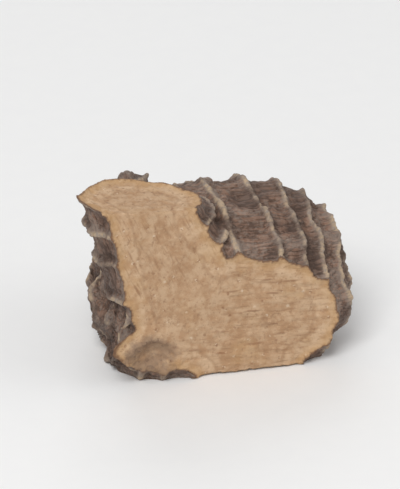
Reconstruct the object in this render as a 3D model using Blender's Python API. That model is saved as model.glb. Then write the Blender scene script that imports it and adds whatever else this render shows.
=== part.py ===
"""Cut chunk of dried galangal rhizome, one solid, standing on its trimmed underside.

Metres, +Z up. The large knife cut faces the front, -Y, and the blunt bark-covered end points to +X. The
origin is the bottom centre of the chunk's box.
"""

import math
import random
from dataclasses import dataclass
from functools import cached_property

import bmesh
import bpy
import numpy as np
from mathutils import Matrix, Vector, noise

MM = 0.001
SEED = 7

# Driving dimensions. The chunk is modelled with its underside cut at height 0.
STEM_LENGTH = 34.5 * MM
STEM_HALF_DEPTH = 13 * MM
STEM_HALF_HEIGHT = 11.5 * MM
STEM_ROLL = math.radians(33)
BRANCH_RADIUS = 8 * MM
KNOB_RADIUS = 3.5 * MM
BUD_RADIUS = 4.8 * MM
STUB_RADIUS = 5.2 * MM
CHUNK_HEIGHT = 27 * MM
FRONT_CUT = -7.5 * MM
BACK_CUT = 18.5 * MM

# Bark relief
RING_PITCH = 4.1 * MM
RING_HEIGHT = 0.5 * MM
RING_HALF_WIDTH = 0.65 * MM
RING_FADE = 0.9
RING_FADE_SIZE = 7 * MM
RING_FEET = (0, -0.5, 0.5, -1, 1)
RING_WAVE = 0.8 * MM
INTERNODE_DIP = 0.3 * MM
WRINKLE_DEPTH = 1.1 * MM
WRINKLE_WIDTH = 2.7 * MM
WRINKLE_LENGTH = 12 * MM
LUMP_HEIGHT = 1.4 * MM
LUMP_SIZE = 9 * MM
LEAST_ROW_GAP = 0.3 * MM
MOST_ROW_GAP = 1.9 * MM
PROFILE_STEPS = 400

# Root stubs under and behind the stem
ROOT_COUNT = 9
ROOT_RADIUS = 0.85 * MM
ROOT_LENGTH = 1.9 * MM

# Knife cuts
CUTTER_STEP = 1.3 * MM
CUTTER_THICKNESS = 14 * MM

BARK_COLOUR = (0.200, 0.125, 0.085, 1.0)
FLESH_COLOUR = (0.500, 0.345, 0.205, 1.0)


def rounded(value, square):
    """A sine or cosine, pushed outward so that a circle becomes a superellipse."""
    return math.copysign(abs(value) ** (2 / square), value)


@dataclass(frozen=True)
class Lobe:
    """A swollen length of rhizome: a closed tube round a bent axis, with rounded ends.

    A place on its bark is given by a distance along the bark from the start's pole, and an angle round
    the axis. The half sizes are pairs, for the start and the tip.
    """

    name: str
    start: Vector
    bend: Vector
    tip: Vector
    half_depth: tuple
    half_height: tuple
    sides: int
    blunt: float = 2.6
    square: float = 2.0
    roll: float = 0.0
    side: Vector = Vector((0, 1, 0))
    ring_pitch: float = 0.0

    @cached_property
    def length(self):
        """Length of the axis, near enough: halfway between its chord and its two legs."""
        legs = (self.bend - self.start).length + (self.tip - self.bend).length
        return ((self.tip - self.start).length + legs) / 2

    @cached_property
    def radius(self):
        """Mean radius of the tube."""
        return sum(self.half_depth + self.half_height) / 4

    def axis(self, t):
        """Point on the axis, a quadratic curve from start to tip."""
        return self.start * (1 - t) ** 2 + self.bend * 2 * t * (1 - t) + self.tip * t**2

    def frame(self, t):
        """Unit vectors at t: along the axis, across it towards the side hint, and square to both."""
        along = ((self.bend - self.start) * (1 - t) + (self.tip - self.bend) * t).normalized()
        across = (self.side - along * self.side.dot(along)).normalized()
        across = Matrix.Rotation(self.roll, 3, along) @ across
        return along, across, along.cross(across)

    def profile(self, phi):
        """Share of the axis and of the full radius at phi, which runs from 0 to pi over the lobe."""
        return (1 - rounded(math.cos(phi), self.blunt)) / 2, abs(rounded(math.sin(phi), self.blunt))

    @cached_property
    def meridian(self):
        """Steps of phi, and the distance along the bark at each."""
        phis = np.linspace(0, math.pi, PROFILE_STEPS)
        points = np.array([self.profile(phi) for phi in phis]) * (self.length, self.radius)
        gaps = np.linalg.norm(np.diff(points, axis=0), axis=1)
        return phis, np.concatenate(([0.0], np.cumsum(gaps)))

    @cached_property
    def rings(self):
        """Distances of the leaf-scar rings along the bark."""
        if not self.ring_pitch:
            return []
        draw = random.Random(f"{SEED} {self.name}")
        places = []
        place = self.ring_pitch * draw.uniform(0.7, 1.0)
        while place < self.meridian[1][-1] - 0.7 * self.ring_pitch:
            places.append(place)
            place += self.ring_pitch * draw.uniform(0.75, 1.25)
        return places

    def rows(self):
        """Distances where the rows of vertices stand: poles, feet and crests of the rings, and infill."""
        end = self.meridian[1][-1]
        feet = [ring + foot * RING_HALF_WIDTH for foot in RING_FEET for ring in self.rings]
        kept = [0.0, end]
        for row in feet:
            if all(abs(row - other) > LEAST_ROW_GAP for other in kept) and 0 < row < end:
                kept.append(row)
        kept.sort()
        filled = []
        for row, following in zip(kept, kept[1:]):
            parts = math.ceil((following - row) / MOST_ROW_GAP)
            filled += [row + (following - row) * i / parts for i in range(parts)]
        return filled + [end]

    def relief(self, distance, place):
        """Height of the bark over the plain tube: raised rings, dips between them, wrinkles and lumps."""
        if not self.ring_pitch:
            return 0.0
        stretched = Vector((place.x / WRINKLE_WIDTH, place.y / WRINKLE_WIDTH, place.z / WRINKLE_LENGTH))
        height = WRINKLE_DEPTH * noise.noise(stretched)
        height += LUMP_HEIGHT * noise.noise(place / LUMP_SIZE + Vector((SEED, 0, self.radius / MM)))
        nearest = min(abs(distance - ring) for ring in self.rings)
        strength = 1 + RING_FADE * noise.noise(place / RING_FADE_SIZE)
        height += RING_HEIGHT * strength * max(0.0, 1 - (nearest / RING_HALF_WIDTH) ** 2) ** 1.5
        for ring, following in zip(self.rings, self.rings[1:]):
            if ring < distance < following:
                share = (distance - ring) / (following - ring)
                height -= INTERNODE_DIP * math.sin(math.pi * share) ** 2
        return height

    def surface(self, distance, theta):
        """Point of the bark, and the outward direction there, without the relief's own slope."""
        phi = float(np.interp(distance, self.meridian[1], self.meridian[0]))
        t, full = self.profile(phi)
        along, across, third = self.frame(t)
        cosine, sine = rounded(math.cos(theta), self.square), rounded(math.sin(theta), self.square)
        depth = self.half_depth[0] + (self.half_depth[1] - self.half_depth[0]) * t
        height = self.half_height[0] + (self.half_height[1] - self.half_height[0]) * t
        spoke = across * cosine * depth + third * sine * height
        u = 2 * t - 1
        lean = Vector((math.copysign(abs(u) ** (self.blunt - 1), u) * 2 / self.length,
                       full ** (self.blunt - 1) / self.radius)).normalized()
        outward = along * lean.x + spoke.normalized() * lean.y
        forward = along * lean.y - spoke.normalized() * lean.x
        place = Vector((cosine * depth * full, sine * height * full, t * self.length))
        point = self.axis(t) + spoke * full + outward * self.relief(distance, place)
        if self.ring_pitch:
            swing = math.sin(theta + 9 * t) + 0.5 * math.sin(2 * theta - 5 * t)
            point += forward * RING_WAVE * full * swing
        return point, outward

    def build(self, material):
        """The lobe as a mesh object: a grid wrapped round the axis, its seam and poles merged."""
        rows = self.rows()
        bm = bmesh.new()
        bmesh.ops.create_grid(bm, x_segments=len(rows) - 1, y_segments=self.sides, size=0.5)
        for vert in bm.verts:
            row = rows[round((vert.co.x + 0.5) * (len(rows) - 1))]
            theta = 2 * math.pi * round((vert.co.y + 0.5) * self.sides) / self.sides
            vert.co = self.surface(row, theta)[0]
        bmesh.ops.remove_doubles(bm, verts=bm.verts, dist=1e-6)
        bmesh.ops.recalc_face_normals(bm, faces=bm.faces)
        return mesh_object(self.name, bm, material)


@dataclass(frozen=True)
class Cut:
    """A knife cut: a plane whose normal points out of the chunk, and how far drying has dished it."""

    name: str
    point: Vector
    normal: Vector
    width: float
    height: float
    dish: float = 0.0
    saddle: float = 0.0
    ripple: float = 0.0

    def sink(self, x, y):
        """Depth of the dried face under the plane at x, y from its middle."""
        reach = (x / self.width) ** 2 + (y / self.height) ** 2
        dish = self.dish * max(0.0, 1 - 4 * reach)
        saddle = self.saddle * ((2 * y / self.height) ** 2 - (2 * x / self.width) ** 2)
        uneven = self.ripple * noise.noise(Vector((x, y, 0)) / (5 * MM))
        return dish + saddle + uneven

    def build(self, material):
        """A slab lying outside the chunk, with the dried face as its inner side."""
        bm = bmesh.new()
        flat = not (self.dish or self.saddle or self.ripple)
        steps = (1, 1) if flat else (round(self.width / CUTTER_STEP), round(self.height / CUTTER_STEP))
        bmesh.ops.create_grid(bm, x_segments=steps[0], y_segments=steps[1], size=0.5)
        for vert in bm.verts:
            x, y = vert.co.x * self.width, vert.co.y * self.height
            vert.co = Vector((x, y, -self.sink(x, y)))
        raised = bmesh.ops.extrude_face_region(bm, geom=bm.faces[:])["geom"]
        for vert in (item for item in raised if isinstance(item, bmesh.types.BMVert)):
            vert.co.z = CUTTER_THICKNESS
        bmesh.ops.recalc_face_normals(bm, faces=bm.faces)
        upright = self.normal.to_track_quat("Z", "Y").to_matrix().to_4x4()
        bmesh.ops.transform(bm, matrix=Matrix.Translation(self.point) @ upright, verts=bm.verts)
        return mesh_object(self.name, bm, material)


def plain_material(name, colour, roughness):
    """A Principled material of one colour."""
    material = bpy.data.materials.new(name)
    material.use_nodes = True
    shader = material.node_tree.nodes["Principled BSDF"]
    shader.inputs["Base Color"].default_value = colour
    shader.inputs["Roughness"].default_value = roughness
    shader.inputs["Metallic"].default_value = 0.0
    return material


def mesh_object(name, bm, material):
    """Puts a bmesh into the scene as an object."""
    mesh = bpy.data.meshes.new(name)
    bm.to_mesh(mesh)
    bm.free()
    mesh.materials.append(material)
    obj = bpy.data.objects.new(name, mesh)
    bpy.context.scene.collection.objects.link(obj)
    return obj


def combine(target, others, operation):
    """Applies a Boolean with each of the others to the target, and removes them."""
    for other in others:
        modifier = target.modifiers.new(operation.title(), "BOOLEAN")
        modifier.operation = operation
        modifier.object = other
        modifier.solver = "EXACT"
        modifier.material_mode = "TRANSFER"
        graph = bpy.context.evaluated_depsgraph_get()
        mesh = bpy.data.meshes.new_from_object(target.evaluated_get(graph))
        target.modifiers.clear()
        target.data = mesh
        bpy.data.objects.remove(other)


def stem():
    """The main length of rhizome, lying along X. Its section leans, so it is fuller low in front."""
    reach = STEM_LENGTH / 2
    return Lobe(
        "stem",
        start=Vector((-0.86 * reach, 2.5 * MM, 9.7 * MM)),
        bend=Vector((0.0, 2.2 * MM, 9.4 * MM)),
        tip=Vector((1.02 * reach, 3.6 * MM, 8.6 * MM)),
        half_depth=(1.03 * STEM_HALF_DEPTH, 0.95 * STEM_HALF_DEPTH),
        half_height=(1.2 * STEM_HALF_HEIGHT, 0.96 * STEM_HALF_HEIGHT),
        sides=64,
        blunt=3.5,
        square=2.4,
        roll=STEM_ROLL,
        ring_pitch=RING_PITCH,
    )


def branch():
    """The branch that rises at the left, and is cut off at the chunk's top."""
    return Lobe(
        "branch",
        start=Vector((-1 * MM, -1.5 * MM, 4 * MM)),
        bend=Vector((-7.1 * MM, -3 * MM, 14 * MM)),
        tip=Vector((-16 * MM, -3.6 * MM, CHUNK_HEIGHT + 9 * MM)),
        half_depth=(1.2 * BRANCH_RADIUS, 0.92 * BRANCH_RADIUS),
        half_height=(1.2 * BRANCH_RADIUS, 0.92 * BRANCH_RADIUS),
        sides=42,
        ring_pitch=0.9 * RING_PITCH,
    )


def knob():
    """The small knob low at the left, which the front cut opens."""
    return Lobe(
        "knob",
        start=Vector((-6.5 * MM, 0, 7 * MM)),
        bend=Vector((-10.5 * MM, -5 * MM, 5.6 * MM)),
        tip=Vector((-16.4 * MM, -12 * MM, 5.6 * MM)),
        half_depth=(KNOB_RADIUS, KNOB_RADIUS),
        half_height=(KNOB_RADIUS, 0.95 * KNOB_RADIUS),
        sides=24,
        ring_pitch=0.7 * RING_PITCH,
    )


def bud():
    """The dried bud that points up at the back."""
    return Lobe(
        "bud",
        start=Vector((-4 * MM, 4 * MM, 8 * MM)),
        bend=Vector((-6 * MM, 14 * MM, 10 * MM)),
        tip=Vector((-7 * MM, 19 * MM, 19.5 * MM)),
        half_depth=(1.2 * BUD_RADIUS, 0.75 * BUD_RADIUS),
        half_height=(1.2 * BUD_RADIUS, 0.7 * BUD_RADIUS),
        sides=26,
        blunt=2.1,
        side=Vector((1, 0, 0)),
        ring_pitch=0.62 * RING_PITCH,
    )


def stub():
    """The side shoot at the back, cut off short."""
    return Lobe(
        "stub",
        start=Vector((4 * MM, 3 * MM, 8 * MM)),
        bend=Vector((7 * MM, 10 * MM, 9 * MM)),
        tip=Vector((9 * MM, BACK_CUT + 8 * MM, 11.5 * MM)),
        half_depth=(STUB_RADIUS, STUB_RADIUS),
        half_height=(STUB_RADIUS, STUB_RADIUS),
        sides=28,
        side=Vector((1, 0, 0)),
        ring_pitch=0.75 * RING_PITCH,
    )


def crease():
    """The hollow between the knob and the stem, where bark reaches into the front cut."""
    return Lobe(
        "crease",
        start=Vector((-14.6 * MM, -8.4 * MM, 3.2 * MM)),
        bend=Vector((-11 * MM, -7.6 * MM, 4.6 * MM)),
        tip=Vector((-6.6 * MM, -8.6 * MM, 2.6 * MM)),
        half_depth=(2.1 * MM, 2.3 * MM),
        half_height=(3.2 * MM, 3.4 * MM),
        sides=18,
        blunt=2.0,
    )


def roots(carrier):
    """Stubs of the thin roots, spread by a seeded draw over the carrier's underside and back."""
    draw = random.Random(SEED)
    span = carrier.meridian[1][-1]
    found = []
    for number in range(ROOT_COUNT):
        distance = span * (0.3 + 0.46 * (number + draw.uniform(0.2, 0.8)) / ROOT_COUNT)
        foot, outward = carrier.surface(distance, math.radians(draw.uniform(-60, 25)))
        radius = ROOT_RADIUS * draw.uniform(0.8, 1.3)
        found.append(
            Lobe(
                f"root_{number + 1}",
                start=foot - outward * 3 * radius,
                bend=foot,
                tip=foot + outward * ROOT_LENGTH * draw.uniform(0.5, 1.1),
                half_depth=(1.6 * radius, radius),
                half_height=(1.6 * radius, radius),
                sides=8,
                blunt=4,
                side=Vector((1, 0, 0)),
            )
        )
    return found


def cuts():
    """The knife cuts: the large front one, the underside, the branch's top and the stub's end."""
    front = Cut(
        "front_cut",
        point=Vector((0, FRONT_CUT, CHUNK_HEIGHT / 2)),
        normal=Vector((0, -1, 0)),
        width=48 * MM,
        height=44 * MM,
        dish=0.9 * MM,
        saddle=0.4 * MM,
        ripple=0.35 * MM,
    )
    top = Cut(
        "branch_cut",
        point=Vector((-10 * MM, -3 * MM, CHUNK_HEIGHT - 0.9 * MM)),
        normal=Vector((0.1, 0.06, 1)).normalized(),
        width=25 * MM,
        height=25 * MM,
        dish=0.7 * MM,
        ripple=0.2 * MM,
    )
    back = Cut(
        "stub_cut",
        point=Vector((8 * MM, BACK_CUT, 10 * MM)),
        normal=Vector((0.2, 1, 0.12)).normalized(),
        width=18 * MM,
        height=18 * MM,
        dish=0.6 * MM,
        ripple=0.2 * MM,
    )
    underside = Cut(
        "underside_cut",
        point=Vector((0, 0, 0)),
        normal=Vector((0, 0, -1)),
        width=70 * MM,
        height=70 * MM,
    )
    return [front, top, back, underside]


def base_centre(mesh):
    """Bottom centre of the mesh's box."""
    corners = [vert.co for vert in mesh.vertices]
    low = Vector(min(corner[i] for corner in corners) for i in range(3))
    high = Vector(max(corner[i] for corner in corners) for i in range(3))
    return Vector(((low.x + high.x) / 2, (low.y + high.y) / 2, low.z))


for old in list(bpy.data.objects):
    bpy.data.objects.remove(old)
bark = plain_material("bark", BARK_COLOUR, 0.75)
flesh = plain_material("flesh", FLESH_COLOUR, 0.85)

main_stem = stem()
grown = [branch(), knob(), bud(), stub()] + roots(main_stem)
chunk = main_stem.build(bark)
chunk.name = "galangal_root"
combine(chunk, [lobe.build(bark) for lobe in grown], "UNION")
combine(chunk, [crease().build(bark)], "DIFFERENCE")
combine(chunk, [cut.build(flesh) for cut in cuts()], "DIFFERENCE")
base = base_centre(chunk.data)
chunk.data.transform(Matrix.Translation(-base))
chunk.data.shade_smooth()
chunk.data.set_sharp_from_angle(angle=math.radians(50))
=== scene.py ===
"""Looks of a chopped chunk of dried galangal rhizome.

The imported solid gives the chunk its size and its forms. Here it is copied at a fine resolution, its bark
and its knife-cut faces are told apart, the fine relief of each is carved, and both are given one
material that follows what was measured on the mesh. Sizes are in millimetres unless they say otherwise.
"""

import logging
import math
import random
from dataclasses import dataclass
from enum import Enum
from functools import cached_property
from typing import Any, Optional, Union

import bmesh
import bpy
import numpy as np
from mathutils import Matrix, Vector, kdtree, noise


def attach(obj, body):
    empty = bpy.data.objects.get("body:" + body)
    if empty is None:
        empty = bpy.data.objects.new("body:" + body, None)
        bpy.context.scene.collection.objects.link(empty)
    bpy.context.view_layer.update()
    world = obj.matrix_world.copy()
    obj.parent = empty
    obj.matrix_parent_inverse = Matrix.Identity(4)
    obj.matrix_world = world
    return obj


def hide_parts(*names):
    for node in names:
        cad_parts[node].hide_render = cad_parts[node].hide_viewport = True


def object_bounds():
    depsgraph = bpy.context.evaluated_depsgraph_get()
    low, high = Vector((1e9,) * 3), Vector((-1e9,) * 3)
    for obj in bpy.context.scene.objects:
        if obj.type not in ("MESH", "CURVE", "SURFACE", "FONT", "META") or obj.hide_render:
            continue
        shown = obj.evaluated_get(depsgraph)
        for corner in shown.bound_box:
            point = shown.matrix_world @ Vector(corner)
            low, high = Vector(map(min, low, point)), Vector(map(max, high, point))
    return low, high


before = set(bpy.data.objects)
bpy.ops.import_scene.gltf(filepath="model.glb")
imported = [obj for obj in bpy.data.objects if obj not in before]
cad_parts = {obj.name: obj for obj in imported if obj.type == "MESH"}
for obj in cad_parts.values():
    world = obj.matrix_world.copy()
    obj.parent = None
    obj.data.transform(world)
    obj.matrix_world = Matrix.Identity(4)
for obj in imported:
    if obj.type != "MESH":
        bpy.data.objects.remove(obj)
CAD_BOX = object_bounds()

LOG = logging.getLogger("galangal")
MM = 0.001
NODE = "galangal_root"
BODY = "root"
# Bottom centre of the chunk's box in the frame that its lobes and cuts are given in
BASE = Vector((-0.42, 6.19, 0.0))
SEED = 7
# Depth or distance that stands for none
FAR = 1e3
# Mean of a noise node
MEAN = 0.5

Colour = tuple[float, float, float, float]
Number = Union[int, float]
Distance = Union[float, np.ndarray]


class Cut(Enum):
    """The chunk's knife cuts."""

    FRONT = "front"
    TOP = "top"
    BACK = "back"
    UNDERSIDE = "underside"


class Link:
    """A node's output, on which Python's arithmetic adds Math nodes."""

    def __init__(self, graph: "Graph", socket: bpy.types.NodeSocket) -> None:
        """Wraps an output socket of one of the graph's nodes."""
        self.graph = graph
        self.socket = socket

    def math(self, operation: str, *values: "Value") -> "Link":
        """Output of a new Math node with this operation and these inputs."""
        return self.graph.node("ShaderNodeMath", {"operation": operation}, dict(enumerate(values)))

    def __add__(self, other: "Value") -> "Link":
        """Sum."""
        return self.math("ADD", self, other)

    __radd__ = __add__

    def __mul__(self, other: "Value") -> "Link":
        """Product."""
        return self.math("MULTIPLY", self, other)

    __rmul__ = __mul__

    def __sub__(self, other: "Value") -> "Link":
        """Difference."""
        return self.math("SUBTRACT", self, other)

    def __rsub__(self, other: "Value") -> "Link":
        """Difference, with this link taken away."""
        return self.math("SUBTRACT", other, self)

    def __abs__(self) -> "Link":
        """Absolute value."""
        return self.math("ABSOLUTE", self)

    def about(self, swing: Number) -> "Link":
        """Noise with its mean moved to 0, and this far between its lowest and highest value."""
        return (self - MEAN) * swing

    def step(self, low: Number, high: Number) -> "Link":
        """A smooth step.

        Args:
            low: Where the step is at 0.
            high: Where it is at 1. It may lie under low, for a falling step.

        Returns:
            The stepped value.
        """
        ends = {1: low, 2: high, 3: 0.0, 4: 1.0} if low <= high else {1: high, 2: low, 3: 1.0, 4: 0.0}
        settings = {"interpolation_type": "SMOOTHSTEP"}
        return self.graph.node("ShaderNodeMapRange", settings, {0: self, **ends})


Value = Union[Link, Number, tuple]


class Graph:
    """A material's node graph."""

    def __init__(self, name: str) -> None:
        """Makes an empty material.

        Args:
            name: The material's name.
        """
        self.material = bpy.data.materials.new(name)
        self.material.use_nodes = True
        self.tree = self.material.node_tree
        self.tree.nodes.clear()

    def node(
        self,
        kind: str,
        settings: Optional[dict[str, Any]] = None,
        sockets: Optional[dict[Union[str, int], Value]] = None,
        output: Union[str, int] = 0,
    ) -> Optional[Link]:
        """Adds a node.

        Args:
            kind: The node's type.
            settings: Its own settings, which are set first.
            sockets: Values or links for its inputs, by name or place.
            output: The output that is wanted, by name or place.

        Returns:
            That output, or nothing where the node has none.
        """
        made = self.tree.nodes.new(kind)
        for name, value in (settings or {}).items():
            setattr(made, name, value)
        for name, value in (sockets or {}).items():
            if isinstance(value, Link):
                self.tree.links.new(value.socket, made.inputs[name])
            else:
                made.inputs[name].default_value = value
        return Link(self, made.outputs[output]) if len(made.outputs) else None

    def place(self) -> Link:
        """Object coordinates in millimetres."""
        return self.scale(self.node("ShaderNodeTexCoord", output="Object"), (1 / MM, 1 / MM, 1 / MM))

    def attribute(self, name: str, output: str = "Fac") -> Link:
        """Value of a mesh attribute, from one of its node's outputs."""
        return self.node("ShaderNodeAttribute", {"attribute_name": name}, output=output)

    def noise(self, place: Link, size: float, detail: float = 2.0, rough: float = 0.5) -> Link:
        """Fractal noise from 0 to 1, with its size, its finer layers and their strength."""
        sockets = {"Vector": place, "Scale": 1 / size, "Detail": detail, "Roughness": rough}
        return self.node("ShaderNodeTexNoise", {"noise_dimensions": "3D"}, sockets)

    def cells(self, place: Link, size: float) -> Link:
        """Distance from the middle of the nearest of scattered cells of this size."""
        settings = {"voronoi_dimensions": "3D", "feature": "F1"}
        return self.node("ShaderNodeTexVoronoi", settings, {"Vector": place, "Scale": 1 / size})

    def scale(self, place: Link, factors: tuple[float, float, float]) -> Link:
        """Vector with each of its parts multiplied by its own factor."""
        return self.node("ShaderNodeVectorMath", {"operation": "MULTIPLY"}, {0: place, 1: factors})

    def mix(self, share: Value, low: Value, high: Value) -> Link:
        """Mix of two colours, with this share of the second one."""
        return self.node("ShaderNodeMix", {"data_type": "RGBA"}, {0: share, 6: low, 7: high}, output=2)

    def finish(
        self, colour: Value, roughness: Value, height: Link, relief: float, specular: float = 0.35
    ) -> bpy.types.Material:
        """Adds the shader, its bump and the material's output.

        Args:
            colour: The base colour.
            roughness: The roughness.
            height: The bump's height, about 0 to 1.
            relief: What a height of 1 stands for.
            specular: The specular level.

        Returns:
            The material.
        """
        sockets = {"Strength": 1.0, "Distance": relief * MM, "Height": height}
        normal = self.node("ShaderNodeBump", {}, sockets)
        sockets = {"Base Color": colour, "Roughness": roughness, "Normal": normal}
        shader = self.node("ShaderNodeBsdfPrincipled", {}, {**sockets, "Specular IOR Level": specular})
        self.node("ShaderNodeOutputMaterial", {}, {"Surface": shader})
        return self.material


@dataclass(frozen=True)
class Layer:
    """A layer of colour: where its mask begins and is full, its share there, and its unevenness."""

    begins: float
    full: float
    share: float = 1.0
    swing: float = 0.0

    def mask(self, value: Link, uneven: Optional[Link] = None) -> Link:
        """The layer's mask.

        Args:
            value: What it is read from.
            uneven: Noise that moves its edge.

        Returns:
            The mask, from 0 to the layer's share.
        """
        if uneven:
            value = value + uneven.about(self.swing)
        stepped = value.step(self.begins, self.full)
        return stepped if self.share == 1.0 else stepped * self.share

    def over(self, colour: Value, value: Link, paint: Value, uneven: Optional[Link] = None) -> Link:
        """Lays a paint over a colour, by the mask that a value and its unevenness give."""
        return value.graph.mix(self.mask(value, uneven), colour, paint)


def stretched(place: Vector, across: float, along: float) -> Vector:
    """Scales a place in a lobe for noise of one size across and another along it."""
    return Vector((place.x / across, place.y / across, place.z / along))


@dataclass(frozen=True)
class Waves:
    """Relief made of noise: its size across a lobe, its height, and its size along the lobe."""

    across: float
    height: float
    along: float = 0.0

    def drawn(self, grain: Vector) -> float:
        """Height at a place across and along a lobe, where the noise is drawn out."""
        return self.height * noise.noise(stretched(grain, self.across, self.along))

    def even(self, place: Vector) -> float:
        """Height at a place where the noise has no direction."""
        return self.height * noise.noise(place / self.across)


@dataclass(frozen=True)
class Ridge:
    """A ridge or groove round a ring or a scar: its distance from it, its width and its height."""

    middle: float
    width: float
    height: float

    def share(self, distance: Distance) -> Distance:
        """Share of the full height at a distance from the ring or scar, on a bell curve."""
        return np.exp(-(((distance - self.middle) / self.width) ** 2))


def rounded(value: float, square: float) -> float:
    """Pushes a sine or cosine outward, to make a circle a superellipse. At 2 it stays."""
    return math.copysign(abs(value) ** (2 / square), value)


@dataclass(frozen=True)
class Lobe:
    """A swollen length of the rhizome: a tube round a bent axis, with leaf-scar rings round it."""

    name: str
    start: Vector
    bend: Vector
    tip: Vector
    half_depth: tuple[float, float]
    half_height: tuple[float, float]
    ring_pitch: float = 0.0
    blunt: float = 2.6
    square: float = 2.0
    roll: float = 0.0
    side: Vector = Vector((0, 1, 0))
    ring_wave: float = 0.8
    ring_height: float = 0.5
    first_ring: tuple[float, float] = (0.7, 1.0)
    ring_gap: tuple[float, float] = (0.75, 1.25)
    last_ring: float = 0.7
    ring_twist: tuple[float, float] = (9.0, -5.0)
    wrinkle: Waves = Waves(across=2.7, height=1.1, along=12.0)
    lump: Waves = Waves(across=9.0, height=1.4)
    profile_steps: int = 400
    axis_steps: int = 64
    crest_steps: int = 120

    @cached_property
    def length(self) -> float:
        """Length of the axis, near enough: halfway between its chord and its two legs."""
        legs = (self.bend - self.start).length + (self.tip - self.bend).length
        return ((self.tip - self.start).length + legs) / 2

    @cached_property
    def radius(self) -> float:
        """Mean radius of the tube."""
        return sum(self.half_depth + self.half_height) / 4

    def axis(self, t: float) -> Vector:
        """Point on the axis, at share t of the way from start to tip."""
        return self.start * (1 - t) ** 2 + self.bend * 2 * t * (1 - t) + self.tip * t**2

    def frame(self, t: float) -> tuple[Vector, Vector, Vector]:
        """Unit vectors at share t: along the axis, across it, and square to both."""
        along = ((self.bend - self.start) * (1 - t) + (self.tip - self.bend) * t).normalized()
        across = (self.side - along * self.side.dot(along)).normalized()
        across = Matrix.Rotation(self.roll, 3, along) @ across
        return along, across, along.cross(across)

    def profile(self, phi: float) -> tuple[float, float]:
        """Share of the axis and of the full radius at phi, which runs from 0 to pi over the lobe."""
        return (1 - rounded(math.cos(phi), self.blunt)) / 2, abs(rounded(math.sin(phi), self.blunt))

    @cached_property
    def meridian(self) -> tuple[np.ndarray, np.ndarray]:
        """Steps of phi, and the distance along the bark at each."""
        phis = np.linspace(0, math.pi, self.profile_steps)
        points = np.array([self.profile(phi) for phi in phis]) * (self.length, self.radius)
        gaps = np.linalg.norm(np.diff(points, axis=0), axis=1)
        return phis, np.concatenate(([0.0], np.cumsum(gaps)))

    @cached_property
    def rings(self) -> list[float]:
        """Distances of the leaf-scar rings along the bark."""
        draw = random.Random(f"{SEED} {self.name}")
        places = []
        place = self.ring_pitch * draw.uniform(*self.first_ring)
        while place < self.meridian[1][-1] - self.last_ring * self.ring_pitch:
            places.append(place)
            place += self.ring_pitch * draw.uniform(*self.ring_gap)
        return places

    def crest(self, distance: float, theta: float) -> tuple[Vector, Vector]:
        """A place on a ring.

        Args:
            distance: The ring's distance along the bark.
            theta: The angle round the axis.

        Returns:
            The point on the ring's crest, and the direction along the bark towards the tip.
        """
        phi = float(np.interp(distance, self.meridian[1], self.meridian[0]))
        t, full = self.profile(phi)
        along, across, third = self.frame(t)
        cosine, sine = rounded(math.cos(theta), self.square), rounded(math.sin(theta), self.square)
        depth = self.half_depth[0] + (self.half_depth[1] - self.half_depth[0]) * t
        height = self.half_height[0] + (self.half_height[1] - self.half_height[0]) * t
        spoke = across * cosine * depth + third * sine * height
        u = 2 * t - 1
        lean = Vector(
            (
                math.copysign(abs(u) ** (self.blunt - 1), u) * 2 / self.length,
                full ** (self.blunt - 1) / self.radius,
            )
        ).normalized()
        outward = along * lean.x + spoke.normalized() * lean.y
        forward = along * lean.y - spoke.normalized() * lean.x
        place = Vector((cosine * depth * full, sine * height * full, t * self.length))
        relief = self.ring_height + self.wrinkle.drawn(place)
        own = Vector((SEED, 0, self.radius))
        relief += self.lump.height * noise.noise(place / self.lump.across + own)
        slow, quick = self.ring_twist
        swing = math.sin(theta + slow * t) + 0.5 * math.sin(2 * theta + quick * t)
        point = self.axis(t) + spoke * full + outward * relief + forward * self.ring_wave * full * swing
        return point - BASE, forward

    def nearest_ring(self, points: np.ndarray) -> np.ndarray:
        """Distance of points from the nearest ring, along the bark.

        Args:
            points: Places in the chunk's frame.

        Returns:
            The distances, over 0 on the tip's side of the ring.
        """
        turns = [2 * math.pi * i / self.crest_steps for i in range(self.crest_steps)]
        crests = [self.crest(ring, theta) for ring in self.rings for theta in turns]
        tree = kdtree.KDTree(len(crests))
        for number, (point, _) in enumerate(crests):
            tree.insert(point, number)
        tree.balance()
        found = [tree.find(point)[1] for point in points]
        places = np.array([point for point, _ in crests])[found]
        forward = np.array([direction for _, direction in crests])[found]
        return ((points - places) * forward).sum(1)

    def local(self, points: np.ndarray) -> tuple[np.ndarray, np.ndarray]:
        """Where points lie against the lobe.

        Args:
            points: Places in the chunk's frame.

        Returns:
            How far each lies outside the tube, and its place across and along the lobe.
        """
        shares = np.linspace(0, 1, self.axis_steps)
        axis = np.array([self.axis(t) - BASE for t in shares])
        frames = np.array([[list(vector) for vector in self.frame(t)] for t in shares])
        lengths = np.concatenate(([0.0], np.cumsum(np.linalg.norm(np.diff(axis, axis=0), axis=1))))
        nearest = ((axis**2).sum(1) - 2 * points @ axis.T).argmin(1)
        parts = np.einsum("nij,nj->ni", frames[nearest], points - axis[nearest])
        depth = np.interp(shares, (0, 1), self.half_depth)[nearest]
        height = np.interp(shares, (0, 1), self.half_height)[nearest]
        full = (1 - abs(2 * shares - 1) ** self.blunt)[nearest] ** (1 / self.blunt)
        spread = np.hypot(parts[:, 1] / depth, parts[:, 2] / height)
        beyond = np.where((nearest == 0) | (nearest == self.axis_steps - 1), abs(parts[:, 0]), 0)
        place = np.stack((parts[:, 1], parts[:, 2], lengths[nearest] + parts[:, 0]), 1)
        return (spread - full) * self.radius + beyond, place


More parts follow.
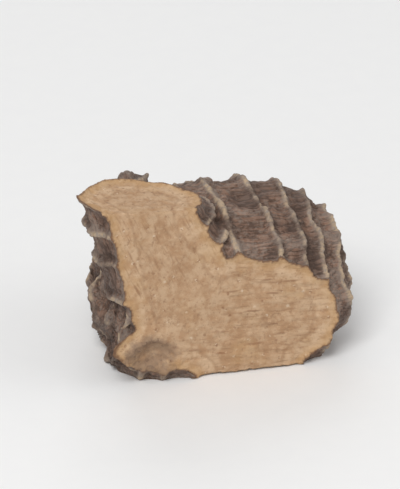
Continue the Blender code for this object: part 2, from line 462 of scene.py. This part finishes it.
@dataclass(frozen=True)
class KnifeCut:
    """One knife cut: its plane, and how drying has dished the cut face."""

    cut: Cut
    point: Vector
    normal: Vector
    width: float
    height: float
    dish: float = 0.0
    saddle: float = 0.0
    ripple: float = 0.0
    ripple_size: float = 5.0
    reach: float = 3.0

    def under(self, points: np.ndarray) -> np.ndarray:
        """Depth of points under the dried face, or a large number for those that lie beside it.

        Args:
            points: Places in the chunk's frame.

        Returns:
            The depths.
        """
        turn = np.array(self.normal.to_track_quat("Z", "Y").to_matrix().transposed())
        x, y, z = ((points - np.array(self.point - BASE)) @ turn.T).T
        near = (abs(z) < self.reach) & (abs(x) < self.width / 2) & (abs(y) < self.height / 2)
        sink = self.dish * np.maximum(0.0, 1 - 4 * ((x / self.width) ** 2 + (y / self.height) ** 2))
        sink += self.saddle * ((2 * y / self.height) ** 2 - (2 * x / self.width) ** 2)
        for i in np.flatnonzero(near) if self.ripple else ():
            sink[i] += self.ripple * noise.noise(Vector((x[i], y[i], 0)) / self.ripple_size)
        return np.where(near, -z - sink, FAR)


@dataclass
class ChunkMesh:
    """The chunk's surface at a fine resolution, with what is measured on it."""

    lobes: list[Lobe]
    cuts: list[KnifeCut]
    crease: Lobe
    voxel: float = 0.23
    skin: float = 0.16
    rounds: int = 5
    passes: int = 3
    broad_passes: int = 90
    corner: float = 0.5
    blend: float = 1.8
    bruise_reach: float = 1.6
    worn_through: float = 0.75
    shade_middle: float = 0.85
    shade_reach: float = 0.75
    merge: float = 1e-4
    grip: float = 1.0

    def build(self, source: bpy.types.Object) -> bpy.types.Object:
        """Makes the smooth mesh and measures it.

        Args:
            source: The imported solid.

        Returns:
            The new object.
        """
        self.obj = self._remeshed(source)
        mesh = self.obj.data
        points = np.empty(len(mesh.vertices) * 3)
        mesh.vertices.foreach_get("co", points)
        self.points = points.reshape(-1, 3) / MM
        edges = np.empty(len(mesh.edges) * 2, np.int64)
        mesh.edges.foreach_get("vertices", edges)
        self.edges = edges.reshape(-1, 2)
        self._find_cuts()
        for _ in range(self.rounds):
            self.points = self._relaxed(self.points, self.passes)
            self._press_to_cuts()
        self.store()
        self.bruise = np.clip(1 - self.crease.local(self.points)[0] / self.bruise_reach, 0, 1)
        self.flesh = (self.on_cut >= 0) | (self.bruise > self.worn_through)
        self._measure_rim()
        self._measure_relief()
        self._measure_grain()
        self._measure_rings()
        return self.obj

    def _remeshed(self, source: bpy.types.Object) -> bpy.types.Object:
        """Copies the solid as one closed mesh of small, even faces.

        Args:
            source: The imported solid.

        Returns:
            The copy.
        """
        bm = bmesh.new()
        bm.from_mesh(source.data)
        bmesh.ops.remove_doubles(bm, verts=bm.verts, dist=self.merge * MM)
        obj = mesh_object("chunk", bm)
        remesh = obj.modifiers.new("Remesh", "REMESH")
        remesh.mode = "VOXEL"
        remesh.voxel_size = self.voxel * MM
        graph = bpy.context.evaluated_depsgraph_get()
        fine = bpy.data.meshes.new_from_object(obj.evaluated_get(graph))
        obj.modifiers.clear()
        obj.data = fine
        bm = bmesh.new()
        bm.from_mesh(fine)
        drop_strays(bm)
        bm.to_mesh(fine)
        bm.free()
        return obj

    def _relaxed(self, points: np.ndarray, passes: int) -> np.ndarray:
        """Smooths the mesh.

        Args:
            points: The vertices' places.
            passes: How many times each goes halfway to the middle of its neighbours.

        Returns:
            The new places.
        """
        first, second = self.edges.T
        count = len(points)
        near = np.bincount(first, minlength=count) + np.bincount(second, minlength=count)
        for _ in range(passes):
            middle = np.empty_like(points)
            for i in range(3):
                total = np.bincount(first, points[second, i], count)
                middle[:, i] = (total + np.bincount(second, points[first, i], count)) / near
            points = (points + middle) / 2
        return points

    def _find_cuts(self) -> None:
        """Finds which vertices lie on each cut."""
        depths = np.array([abs(cut.under(self.points)) for cut in self.cuts])
        nearest = depths.argmin(0)
        depths.sort(0)
        found = (depths[0] < self.skin) | (depths[1] < self.corner)
        self.on_cut = np.where(found, nearest, -1)
        for number, cut in enumerate(self.cuts):
            LOG.info("%s cut: %d points", cut.cut.value, (self.on_cut == number).sum())

    def _press_to_cuts(self) -> None:
        """Moves the vertices of the cuts back on to them."""
        for number, cut in enumerate(self.cuts):
            here = self.on_cut == number
            depth = cut.under(self.points[here])
            depth[abs(depth) > self.grip] = 0
            self.points[here] += depth[:, None] * np.array(cut.normal)

    def store(self) -> None:
        """Writes the places to the mesh, and reads its normals."""
        mesh = self.obj.data
        mesh.vertices.foreach_set("co", (self.points * MM).ravel())
        mesh.update()
        normals = np.empty(len(self.points) * 3)
        mesh.vertices.foreach_get("normal", normals)
        self.normals = normals.reshape(-1, 3)

    def _measure_rim(self) -> None:
        """Measures the distance from the edge of the bark, over 0 on flesh and under 0 on bark."""
        self.rim = np.zeros(len(self.points))
        for here, sign in ((self.flesh, 1.0), (~self.flesh, -1.0)):
            other = self.points[~here]
            tree = kdtree.KDTree(len(other))
            for i, point in enumerate(other):
                tree.insert(point, i)
            tree.balance()
            self.rim[here] = [sign * tree.find(point)[2] for point in self.points[here]]

    def _measure_relief(self) -> None:
        """Measures the height of the bark over its broad form."""
        broad = self._relaxed(self.points, self.broad_passes)
        self.relief = ((self.points - broad) * self.normals).sum(1)
        self.relief[self.flesh] = 0

    def _measure_grain(self) -> None:
        """Finds each vertex's place along its lobe, and how far the next lobe's border is."""
        found = [lobe.local(self.points) for lobe in self.lobes]
        outside = np.array([item[0] for item in found])
        order = outside.argsort(0)
        index = np.arange(len(self.points))
        self.owner = order[0]
        self.grain = np.array([item[1] for item in found])[self.owner, index]
        gap = np.clip((outside[order[1], index] - outside[order[0], index]) / self.blend, 0, 1)
        self.hold = gap * gap * (3 - 2 * gap)

    def _measure_rings(self) -> None:
        """Measures the distance from the nearest leaf-scar ring, and the mask of the painted shadow beside
        it.
        """
        self.ring = np.full(len(self.points), FAR)
        for number, lobe in enumerate(self.lobes):
            here = (self.owner == number) & ~self.flesh
            self.ring[here] = lobe.nearest_ring(self.points[here])
        self.crest = abs(self.ring)
        # Mask of the painted shadow in the groove just ahead of each ring
        self.ring_shadow = np.clip(1 - abs(self.ring - self.shade_middle) / self.shade_reach, 0, 1)

    def write(self) -> None:
        """Stores what was measured as attributes, for the material."""
        mesh = self.obj.data
        for name in ("rim", "relief", "hold", "crest", "ring_shadow", "scar", "bruise"):
            values = getattr(self, name).astype(np.float32)
            mesh.attributes.new(name, "FLOAT", "POINT").data.foreach_set("value", values)
        grain = mesh.attributes.new("grain", "FLOAT_VECTOR", "POINT")
        grain.data.foreach_set("vector", self.grain.astype(np.float32).ravel())


def mesh_object(name: str, bm: bmesh.types.BMesh) -> bpy.types.Object:
    """Puts a bmesh into the scene as an object.

    Args:
        name: The object's name.
        bm: The bmesh, which is freed.

    Returns:
        The object.
    """
    mesh = bpy.data.meshes.new(name)
    bm.to_mesh(mesh)
    bm.free()
    obj = bpy.data.objects.new(name, mesh)
    bpy.context.scene.collection.objects.link(obj)
    return obj


def drop_strays(bm: bmesh.types.BMesh) -> None:
    """Deletes the small bodies that a voxel remesh can leave in narrow places.

    Args:
        bm: The bmesh, whose highest vertex is on the body that is kept.
    """
    front = [max(bm.verts, key=lambda vert: vert.co.z)]
    reached = set(front)
    while front:
        vert = front.pop()
        near = [edge.other_vert(vert) for edge in vert.link_edges]
        front += [other for other in near if other not in reached]
        reached.update(near)
    bmesh.ops.delete(bm, geom=[vert for vert in bm.verts if vert not in reached], context="VERTS")


@dataclass
class Carving:
    """The fine relief: wrinkles, torn ring edges and root scars in the bark, fibres in the cut faces."""

    chunk: ChunkMesh
    wrinkle: Waves = Waves(across=0.95, height=0.34, along=6.0)
    wrinkle_sharpness: float = 2.6
    stria: Waves = Waves(across=3.0, height=0.05, along=0.5)
    lump: Waves = Waves(across=1.9, height=0.18)
    pit: Waves = Waves(across=0.8, height=0.10)
    frill: Ridge = Ridge(middle=0.0, width=0.34, height=0.26)
    frill_share: float = 0.7
    frill_tears: tuple[Waves, ...] = (Waves(across=0.7, height=1.1), Waves(across=3.5, height=1.1))
    frill_smooth: float = 0.6
    fore_groove: Ridge = Ridge(middle=0.95, width=0.4, height=0.22)
    hind_groove: Ridge = Ridge(middle=-0.85, width=0.4, height=0.10)
    groove_share: float = 0.7
    groove_swing: Waves = Waves(across=2.5, height=1.0)
    fibre: Waves = Waves(across=0.5, height=0.13, along=4.0)
    mottle: Waves = Waves(across=1.2, height=0.10)
    grit: Waves = Waves(across=0.55, height=0.07)
    knife: Waves = Waves(across=0.9, height=0.07, along=30.0)
    knife_turn: Vector = Vector((0.95, 0.15, 0.27))
    sunk: float = 0.25
    sunk_reach: float = 0.9
    worn: tuple[Waves, ...] = (Waves(across=2.2, height=0.40), Waves(across=0.8, height=0.22))
    corner: float = 1.2
    fade: float = 0.55
    root_trace: Vector = Vector((5.7, -13.7, 7.0))
    trace_size: float = 2.0
    scar_count: int = 16
    scar_sizes: tuple[float, float] = (0.6, 1.3)
    scar_radius: float = 0.62
    scar_reach: float = 1.5
    scar_warp: float = 0.7
    scar_inset: float = 1.5
    scar_clear: float = 0.9
    scar_edge: Ridge = Ridge(middle=0.95, width=0.3, height=0.16)
    scar_pit: Ridge = Ridge(middle=0.0, width=0.5, height=0.26)
    scar_on_flesh: float = 0.3

    def carve(self) -> None:
        """Moves the chunk's vertices along their normals."""
        chunk = self.chunk
        self._place_scars()
        moves = np.zeros(len(chunk.points))
        for i in range(len(moves)):
            place, grain = Vector(chunk.points[i]), Vector(chunk.grain[i])
            if chunk.rim[i] > 0:
                moves[i] = self._flesh(place, grain, chunk.hold[i], chunk.rim[i]) * (1 - chunk.bruise[i])
                moves[i] += sum(waves.even(place) for waves in self.worn) * chunk.bruise[i]
            else:
                moves[i] = self._bark(place, grain, chunk.hold[i], chunk.ring[i])
        moves *= np.clip(abs(chunk.rim) / self.fade, 0, 1)
        moves += self._scar_relief()
        chunk.points = chunk.points + moves[:, None] * self._directions()
        low, high = (np.array(corner) / MM for corner in CAD_BOX)
        chunk.points = np.clip(chunk.points, low, high)
        chunk.store()

    def _directions(self) -> np.ndarray:
        """Which way each vertex moves: along its normal, or square to the cuts that it is on or near.

        Returns:
            The directions.
        """
        chunk = self.chunk
        directions = chunk.normals.copy()
        directions[chunk.on_cut >= 0] = 0
        for number, cut in enumerate(chunk.cuts):
            near = np.clip(1 - abs(cut.under(chunk.points)) / self.corner, 0, 1)
            near[chunk.on_cut == number] = 1
            near[chunk.on_cut < 0] = 0
            directions += near[:, None] * np.array(cut.normal)
        return directions

    def _place_scars(self) -> None:
        """Spreads the scars of torn-off roots over the bark, by a seeded draw."""
        chunk = self.chunk
        draw = random.Random(SEED)
        clear = (chunk.rim < -self.scar_inset) & (abs(chunk.ring) > self.scar_clear)
        bark = np.flatnonzero(clear & (chunk.owner == 0))
        scars = [
            (chunk.points[draw.choice(bark)], draw.uniform(*self.scar_sizes))
            for _ in range(self.scar_count)
        ]
        away = np.full(len(chunk.points), FAR)
        for middle, size in scars + [(np.array(self.root_trace), self.trace_size)]:
            gap = np.linalg.norm(chunk.points - middle, axis=1) / (self.scar_radius * size)
            away = np.minimum(away, gap)
        for i in np.flatnonzero(away < 2 * self.scar_reach):
            away[i] *= 1 + self.scar_warp * noise.noise(Vector(chunk.points[i]) / self.scar_radius)
        self.scar_away = away
        chunk.scar = np.clip(self.scar_reach - away, 0, self.scar_reach)

    def _scar_relief(self) -> np.ndarray:
        """Height of the root scars: a pit with a raised edge."""
        edge, pit = self.scar_edge, self.scar_pit
        relief = edge.height * edge.share(self.scar_away) - pit.height * pit.share(self.scar_away)
        return relief * np.where(self.chunk.flesh, self.scar_on_flesh, 1.0)

    def _crease(self, value: float) -> float:
        """Depth of a sharp crease where noise passes through 0, from 0 to 1."""
        return max(0.0, 1 - self.wrinkle_sharpness * abs(value)) ** 3

    def _bark(self, place: Vector, grain: Vector, hold: float, ring: float) -> float:
        """How far the bark stands out.

        Args:
            place: The place in the chunk's frame.
            grain: The place along its lobe.
            hold: Share of the relief that runs along the lobe.
            ring: Distance from the nearest ring.

        Returns:
            The move along the normal.
        """
        across, along = self.wrinkle.across, self.wrinkle.along
        crest = self.frill.share(ring)
        drawn = self._crease(noise.noise(stretched(grain, across, along)))
        even = self._crease(noise.noise(place / (2 * across)))
        move = -self.wrinkle.height * (even + (drawn - even) * hold) * (1 - self.frill_smooth * crest)
        move += self.stria.drawn(grain) * hold + self.lump.even(place) + self.pit.even(place)
        whole = self.frill_share + sum(tear.even(place) for tear in self.frill_tears)
        move += self.frill.height * crest * max(0.0, whole)
        depth = self.groove_share + self.groove_swing.even(place)
        for groove in (self.fore_groove, self.hind_groove):
            move -= groove.height * groove.share(ring) * depth
        return move

    def _flesh(self, place: Vector, grain: Vector, hold: float, rim: float) -> float:
        """How far the flesh stands out of its cut face.

        Args:
            place: The place in the chunk's frame.
            grain: The place along its lobe.
            hold: Share of the relief that runs along the lobe.
            rim: Distance from the bark.

        Returns:
            The move along the cut's normal.
        """
        move = self.fibre.drawn(grain) * hold - self.sunk * min(1.0, rim / self.sunk_reach)
        move += self.mottle.even(place) + self.grit.even(place)
        side = place.dot(self.knife_turn)
        run = (place - self.knife_turn * side).length
        stroke = Vector((side / self.knife.across, run / self.knife.along, 0))
        return move + self.knife.height * noise.noise(stroke)


@dataclass(frozen=True)
class Marks:
    """What all parts of the finish read: places on the chunk, slow patches and quick speckle."""

    graph: Graph
    place: Link
    patches: Link
    speckle: Link

    def drawn_out(self, across: float, along: float, detail: float, rough: float) -> Link:
        """Noise drawn out along the lobes, which fades to an even one where two of them meet.

        Args:
            across: Size of the noise across a lobe.
            along: Size along it.
            detail: Number of finer layers.
            rough: Strength of the finer layers.

        Returns:
            The noise.
        """
        graph = self.graph
        grain = graph.scale(graph.attribute("grain", "Vector"), (1 / across, 1 / across, 1 / along))
        even = graph.noise(self.place, 2 * across, detail, rough)
        return even + (graph.noise(grain, 1.0, detail, rough) - even) * graph.attribute("hold")


@dataclass(frozen=True)
class BarkFinish:
    """Corky bark: painted shade in its creases, its low places and beside its rings, dusty where it is
    worn, pale on its leaf scars.
    """

    # Dark brown: painted shade in creases, low places and beside the rings, and the dark edge of the root
    # scars
    deep: Colour = (0.052, 0.031, 0.023, 1.0)
    plain: Colour = (0.150, 0.093, 0.068, 1.0)
    warm: Colour = (0.255, 0.138, 0.088, 1.0)
    scar: Colour = (0.480, 0.355, 0.235, 1.0)
    dust: Colour = (0.300, 0.245, 0.205, 1.0)
    warm_patch: Layer = Layer(0.40, 0.62)
    crease: Layer = Layer(0.10, 0.0)
    # Share of painted shade in the wrinkle creases
    crease_shade: float = 0.7
    crease_depth: float = 0.35
    # Painted shade in the bark's low places
    low_place_shade: Layer = Layer(0.0, -0.30, share=0.75, swing=0.3)
    # Painted shadow beside each ring
    painted_ring_shadow: Layer = Layer(0.1, 0.9, share=0.45, swing=0.6)
    dusted: Layer = Layer(0.58, 0.85, share=0.6)
    dust_weights: tuple[float, float, float] = (0.6, 0.7, 0.5)
    ring_worn: Layer = Layer(0.34, 0.66, swing=0.8)
    ring_crest: Layer = Layer(0.42, 0.08, swing=0.8)
    ring_spread: float = 0.12
    ring_pale: Layer = Layer(0.32, 0.60, swing=0.8)
    ring_unworn: float = 0.12
    ring_bare: float = 0.82
    scar_line: float = 0.55
    scar_edge: Layer = Layer(0.35, 0.05, share=0.55)
    scar_middle: Layer = Layer(0.80, 1.25, share=0.6, swing=0.5)
    wrinkle_height: float = 0.5
    speckle_height: float = 0.5

    def paint(self, marks: Marks) -> tuple[Link, Link]:
        """The bark's colour and height.

        Args:
            marks: What the finish reads.

        Returns:
            The colour, and the height from 0 to 1.
        """
        graph, patches, speckle = marks.graph, marks.patches, marks.speckle
        relief = graph.attribute("relief")
        scar = graph.attribute("scar")
        wrinkles = marks.drawn_out(across=0.55, along=5.0, detail=3.0, rough=0.55)
        creases = self.crease.mask(abs(wrinkles - MEAN))
        colour = self.warm_patch.over(self.plain, patches, self.warm)
        # Painted shade: the bark's colour is darkened in its wrinkle creases
        colour = graph.mix(creases * self.crease_shade, colour, self.deep)
        # Painted shade: the bark is darkened where its relief lies under its broad form
        colour = self.low_place_shade.over(colour, relief, self.deep, speckle)
        # Painted shadow: the bark is darkened just ahead of each ring, where its groove lies
        colour = self.painted_ring_shadow.over(colour, graph.attribute("ring_shadow"), self.deep, speckle)
        quick, slow, raised = self.dust_weights
        colour = self.dusted.over(colour, speckle * quick + patches * slow + relief * raised, self.dust)
        blotches = graph.noise(marks.place, size=2.2, detail=3.0, rough=0.6)
        worn = self.ring_worn.mask(blotches, patches)
        crest = self.ring_crest.mask(graph.attribute("crest") - worn * self.ring_spread, speckle)
        pale = self.ring_pale.over(self.dust, speckle, self.scar, wrinkles)
        colour = graph.mix(crest * (self.ring_unworn + worn * self.ring_bare), colour, pale)
        colour = self.scar_edge.over(colour, abs(scar - self.scar_line), self.deep)
        colour = self.scar_middle.over(colour, scar, self.scar, speckle)
        height = wrinkles * self.wrinkle_height + speckle * self.speckle_height
        return colour, height - creases * self.crease_depth


@dataclass(frozen=True)
class FleshFinish:
    """Fibrous flesh on a cut face: streaked, speckled with resin and chalk, corky at its edge."""

    plain: Colour = (0.445, 0.270, 0.150, 1.0)
    pale: Colour = (0.590, 0.410, 0.260, 1.0)
    dark: Colour = (0.285, 0.155, 0.080, 1.0)
    yellow: Colour = (0.480, 0.285, 0.120, 1.0)
    resin: Colour = (0.215, 0.095, 0.042, 1.0)
    chalk: Colour = (0.700, 0.560, 0.410, 1.0)
    cork: Colour = (0.125, 0.060, 0.036, 1.0)
    mottled: Layer = Layer(0.34, 0.66)
    streak_dark: Layer = Layer(0.48, 0.32, share=0.45)
    streak_pale: Layer = Layer(0.56, 0.70, share=0.40)
    wander: float = 2.2
    core: Layer = Layer(2.7, 3.5, share=0.16)
    core_line: float = 3.1
    core_edge: Layer = Layer(0.35, 0.05, share=0.30)
    yellow_patch: Layer = Layer(0.52, 0.78, share=0.35)
    yellow_rim: Layer = Layer(1.9, 0.3, share=0.45, swing=1.5)
    bundle: Layer = Layer(0.24, 0.08)
    bundle_size: float = 0.95
    bundle_draw: float = 0.12
    bundle_share: float = 0.5
    scar_line: float = 0.55
    scar_swing: float = 0.9
    scar_edge: Layer = Layer(0.30, 0.02, share=0.42)
    scar_middle: Layer = Layer(0.75, 1.20, share=0.4, swing=0.6)
    speckle_dark: Layer = Layer(0.44, 0.30, share=0.55)
    speckle_pale: Layer = Layer(0.59, 0.70, share=0.55)
    speck: Layer = Layer(0.20, 0.09)
    speck_spacing: float = 1.6
    speck_resin: Layer = Layer(0.52, 0.48, share=0.5)
    speck_chalk: Layer = Layer(0.50, 0.56, share=0.6)
    cork_rim: Layer = Layer(0.50, 0.14, share=0.85, swing=0.5)
    heights: tuple[float, float, float, float] = (0.45, 0.35, 0.25, 0.2)

    def paint(self, marks: Marks, rim: Link) -> tuple[Link, Link]:
        """The cut faces' colour and height.

        Args:
            marks: What the finish reads.
            rim: Distance from the bark.

        Returns:
            The colour, and the height from 0 to 1.
        """
        graph, patches, speckle = marks.graph, marks.patches, marks.speckle
        scar = graph.attribute("scar")
        mottle = graph.noise(marks.place, size=1.5, detail=4.0, rough=0.6)
        streaks = marks.drawn_out(across=0.45, along=3.0, detail=4.0, rough=0.65)
        fibres = graph.scale(graph.attribute("grain", "Vector"), (1.0, 1.0, self.bundle_draw))
        bundles = self.bundle.mask(graph.cells(fibres, self.bundle_size)) * graph.attribute("hold")
        specks = self.speck.mask(graph.cells(marks.place, self.speck_spacing))
        wander = rim + patches.about(self.wander)
        colour = self.mottled.over(self.plain, mottle, self.pale)
        colour = self.streak_dark.over(colour, streaks, self.dark)
        colour = self.streak_pale.over(colour, streaks, self.pale)
        colour = self.core.over(colour, wander, self.dark)
        colour = self.yellow_patch.over(colour, patches, self.yellow)
        colour = graph.mix(bundles * self.bundle_share, colour, self.resin)
        scar_gap = abs(scar - self.scar_line + mottle.about(self.scar_swing))
        colour = self.scar_edge.over(colour, scar_gap, self.dark)
        colour = self.scar_middle.over(colour, scar, self.pale, mottle)
        colour = self.speckle_dark.over(colour, speckle, self.dark)
        colour = self.speckle_pale.over(colour, speckle, self.pale)
        colour = graph.mix(specks * self.speck_resin.mask(speckle), colour, self.resin)
        colour = graph.mix(specks * self.speck_chalk.mask(speckle), colour, self.chalk)
        colour = self.core_edge.over(colour, abs(wander - self.core_line), self.dark)
        colour = self.yellow_rim.over(colour, wander, self.yellow, mottle)
        colour = self.cork_rim.over(colour, rim, self.cork, speckle)
        streak, quick, slow, bundle = self.heights
        return colour, streaks * streak + speckle * quick + mottle * slow + bundles * bundle


@dataclass(frozen=True)
class RootFinish:
    """Dried galangal all over: its bark, its flesh, and the hollow where both are worn."""

    bark: BarkFinish = BarkFinish()
    flesh: FleshFinish = FleshFinish()
    worn_dark: Colour = (0.170, 0.112, 0.080, 1.0)
    worn_pale: Colour = (0.290, 0.190, 0.122, 1.0)
    border: Layer = Layer(-0.08, 0.08, swing=0.5)
    worn: Layer = Layer(0.45, 1.15, share=0.8, swing=1.6)
    worn_swing: float = 1.4
    worn_mottle: Layer = Layer(0.38, 0.62, swing=0.7)
    bark_roughness: float = 0.64
    flesh_rougher: float = 0.16
    uneven_roughness: float = 0.3
    relief: float = 0.16

    def material(self) -> bpy.types.Material:
        """Builds the material.

        Returns:
            The material.
        """
        graph = Graph("dried_galangal")
        place = graph.place()
        rim = graph.attribute("rim")
        patches = graph.noise(place, size=4.5, detail=3.0)
        speckle = graph.noise(place, size=0.5, detail=3.0, rough=0.65)
        mottle = graph.noise(place, size=1.1, detail=4.0, rough=0.65)
        marks = Marks(graph, place, patches, speckle)
        bark, bark_height = self.bark.paint(marks)
        flesh, flesh_height = self.flesh.paint(marks, rim)
        edge = self.border.mask(rim, speckle)
        torn = self.worn_mottle.over(self.worn_dark, mottle, self.worn_pale, speckle)
        hollow = graph.attribute("bruise") + mottle.about(self.worn_swing)
        colour = self.worn.over(graph.mix(edge, bark, flesh), hollow, torn, patches)
        roughness = edge * self.flesh_rougher + self.bark_roughness
        roughness += speckle.about(self.uneven_roughness)
        height = bark_height * (1 - edge) + flesh_height * edge
        return graph.finish(colour, roughness, height, self.relief)


@dataclass
class GalangalChunk:
    """The chunk and its finish."""

    finish: RootFinish = RootFinish()

    def lobes(self) -> list[Lobe]:
        """The rhizome's stem, branch, knob, bud and cut-off shoot."""
        return [
            Lobe(
                name="stem",
                start=Vector((-14.835, 2.5, 9.7)), bend=Vector((0, 2.2, 9.4)),
                tip=Vector((17.595, 3.6, 8.6)), half_depth=(13.39, 12.35), half_height=(13.8, 11.04),
                ring_pitch=4.1, blunt=3.5, square=2.4, roll=math.radians(33),
            ),
            Lobe(
                name="branch",
                start=Vector((-1, -1.5, 4)), bend=Vector((-7.1, -3, 14)), tip=Vector((-16, -3.6, 36)),
                half_depth=(9.6, 7.36), half_height=(9.6, 7.36), ring_pitch=3.69,
            ),
            Lobe(
                name="knob",
                start=Vector((-6.5, 0, 7)), bend=Vector((-10.5, -5, 5.6)), tip=Vector((-16.4, -12, 5.6)),
                half_depth=(3.5, 3.5), half_height=(3.5, 3.325), ring_pitch=2.87,
            ),
            Lobe(
                name="bud",
                start=Vector((-4, 4, 8)), bend=Vector((-6, 14, 10)), tip=Vector((-7, 19, 19.5)),
                half_depth=(5.76, 3.6), half_height=(5.76, 3.36), ring_pitch=2.542,
                blunt=2.1, side=Vector((1, 0, 0)),
            ),
            Lobe(
                name="stub",
                start=Vector((4, 3, 8)), bend=Vector((7, 10, 9)), tip=Vector((9, 26.5, 11.5)),
                half_depth=(5.2, 5.2), half_height=(5.2, 5.2), ring_pitch=3.075,
                side=Vector((1, 0, 0)),
            ),
        ]

    def crease(self) -> Lobe:
        """The worn hollow between the knob and the stem."""
        return Lobe(
            name="crease",
            start=Vector((-14.6, -8.4, 3.2)), bend=Vector((-11, -7.6, 4.6)),
            tip=Vector((-6.6, -8.6, 2.6)), half_depth=(2.1, 2.3), half_height=(3.2, 3.4), blunt=2.0,
        )

    def cuts(self) -> list[KnifeCut]:
        """The knife cuts, with the underside last."""
        return [
            KnifeCut(
                Cut.FRONT,
                point=Vector((0, -7.5, 13.5)),
                normal=Vector((0, -1, 0)),
                width=48, height=44, dish=0.9, saddle=0.4, ripple=0.35,
            ),
            KnifeCut(
                Cut.TOP,
                point=Vector((-10, -3, 26.1)),
                normal=Vector((0.1, 0.06, 1)).normalized(),
                width=25, height=25, dish=0.7, ripple=0.2,
            ),
            KnifeCut(
                Cut.BACK,
                point=Vector((8, 18.5, 10)),
                normal=Vector((0.2, 1, 0.12)).normalized(),
                width=18, height=18, dish=0.6, ripple=0.2,
            ),
            KnifeCut(Cut.UNDERSIDE, point=Vector(), normal=Vector((0, 0, -1)), width=70, height=70),
        ]

    def build(self) -> bpy.types.Object:
        """Builds and dresses the chunk.

        Returns:
            The object.
        """
        chunk = ChunkMesh(self.lobes(), self.cuts(), self.crease())
        obj = chunk.build(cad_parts[NODE])
        Carving(chunk).carve()
        chunk.write()
        obj.name = "galangal_chunk"
        obj.data.shade_smooth()
        obj.data.materials.clear()
        obj.data.materials.append(self.finish.material())
        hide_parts(NODE)
        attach(obj, BODY)
        return obj


@dataclass(frozen=True)
class Lamp:
    """A square soft light that faces the chunk, with its place and width in metres and its watts."""

    name: str
    place: Vector
    width: float
    power: float

    def build(self) -> None:
        """Adds the light."""
        data = bpy.data.lights.new(self.name, "AREA")
        data.size = self.width
        data.energy = self.power
        light = bpy.data.objects.new(self.name, data)
        bpy.context.scene.collection.objects.link(light)
        light.location = self.place
        light.rotation_euler = self.place.to_track_quat("Z", "Y").to_euler()


@dataclass
class Studio:
    """The floor, the soft lights and the camera, in metres."""

    floor_size: float = 4.0
    floor_tones: tuple[Colour, Colour] = ((0.86, 0.86, 0.86, 1), (0.88, 0.88, 0.875, 1))
    world_strength: float = 0.40
    lamps: tuple[Lamp, ...] = (
        Lamp("key", Vector((-0.35, -0.55, 0.75)), width=0.45, power=5.8),
        Lamp("fill", Vector((0.75, -0.35, 0.45)), width=0.7, power=1.4),
        Lamp("rim", Vector((0.1, 0.8, 0.6)), width=0.6, power=2.2),
    )
    azimuth: float = math.radians(-15.75)
    elevation: float = math.radians(26.1)
    distance: float = 0.775
    frame_height: float = 0.066
    sensor: float = 36.0
    clip: tuple[float, float] = (0.05, 20.0)

    def build(self) -> None:
        """Builds them all."""
        self._floor()
        self._world()
        for lamp in self.lamps:
            lamp.build()
        self._camera()

    def _floor(self) -> None:
        """The plain pale floor."""
        bm = bmesh.new()
        bmesh.ops.create_grid(bm, x_segments=1, y_segments=1, size=self.floor_size / 2)
        floor = mesh_object("floor", bm)
        graph = Graph("pale_floor")
        tone = graph.noise(graph.place(), size=3.0)
        colour = graph.mix(tone, *self.floor_tones)
        floor.data.materials.append(graph.finish(colour, roughness=0.9, height=tone, relief=0.002))

    def _world(self) -> None:
        """Even white light from all round."""
        world = bpy.data.worlds.new("studio")
        bpy.context.scene.world = world
        world.use_nodes = True
        background = world.node_tree.nodes["Background"]
        background.inputs["Color"].default_value = (1.0, 1.0, 1.0, 1.0)
        background.inputs["Strength"].default_value = self.world_strength

    def _camera(self) -> None:
        """The camera, at the photograph's viewing angle."""
        low, high = (Vector(corner) for corner in CAD_BOX)
        flat = math.cos(self.elevation)
        back = Vector(
            (math.sin(self.azimuth) * flat, -math.cos(self.azimuth) * flat, math.sin(self.elevation))
        )
        data = bpy.data.cameras.new("camera")
        data.sensor_width = self.sensor
        data.lens = self.sensor * self.distance / self.frame_height
        data.clip_start, data.clip_end = self.clip
        camera = bpy.data.objects.new("camera", data)
        bpy.context.scene.collection.objects.link(camera)
        camera.location = (low + high) / 2 + back * self.distance
        camera.rotation_euler = back.to_track_quat("Z", "Y").to_euler()
        bpy.context.scene.camera = camera
        bpy.context.scene.view_settings.view_transform = "Standard"


def main() -> None:
    """Builds the chunk and its studio."""
    logging.basicConfig(level=logging.INFO, format="%(name)s: %(message)s")
    chunk = GalangalChunk().build()
    LOG.info("%s: %d faces", chunk.name, len(chunk.data.polygons))
    Studio().build()


if __name__ == "__main__":
    main()
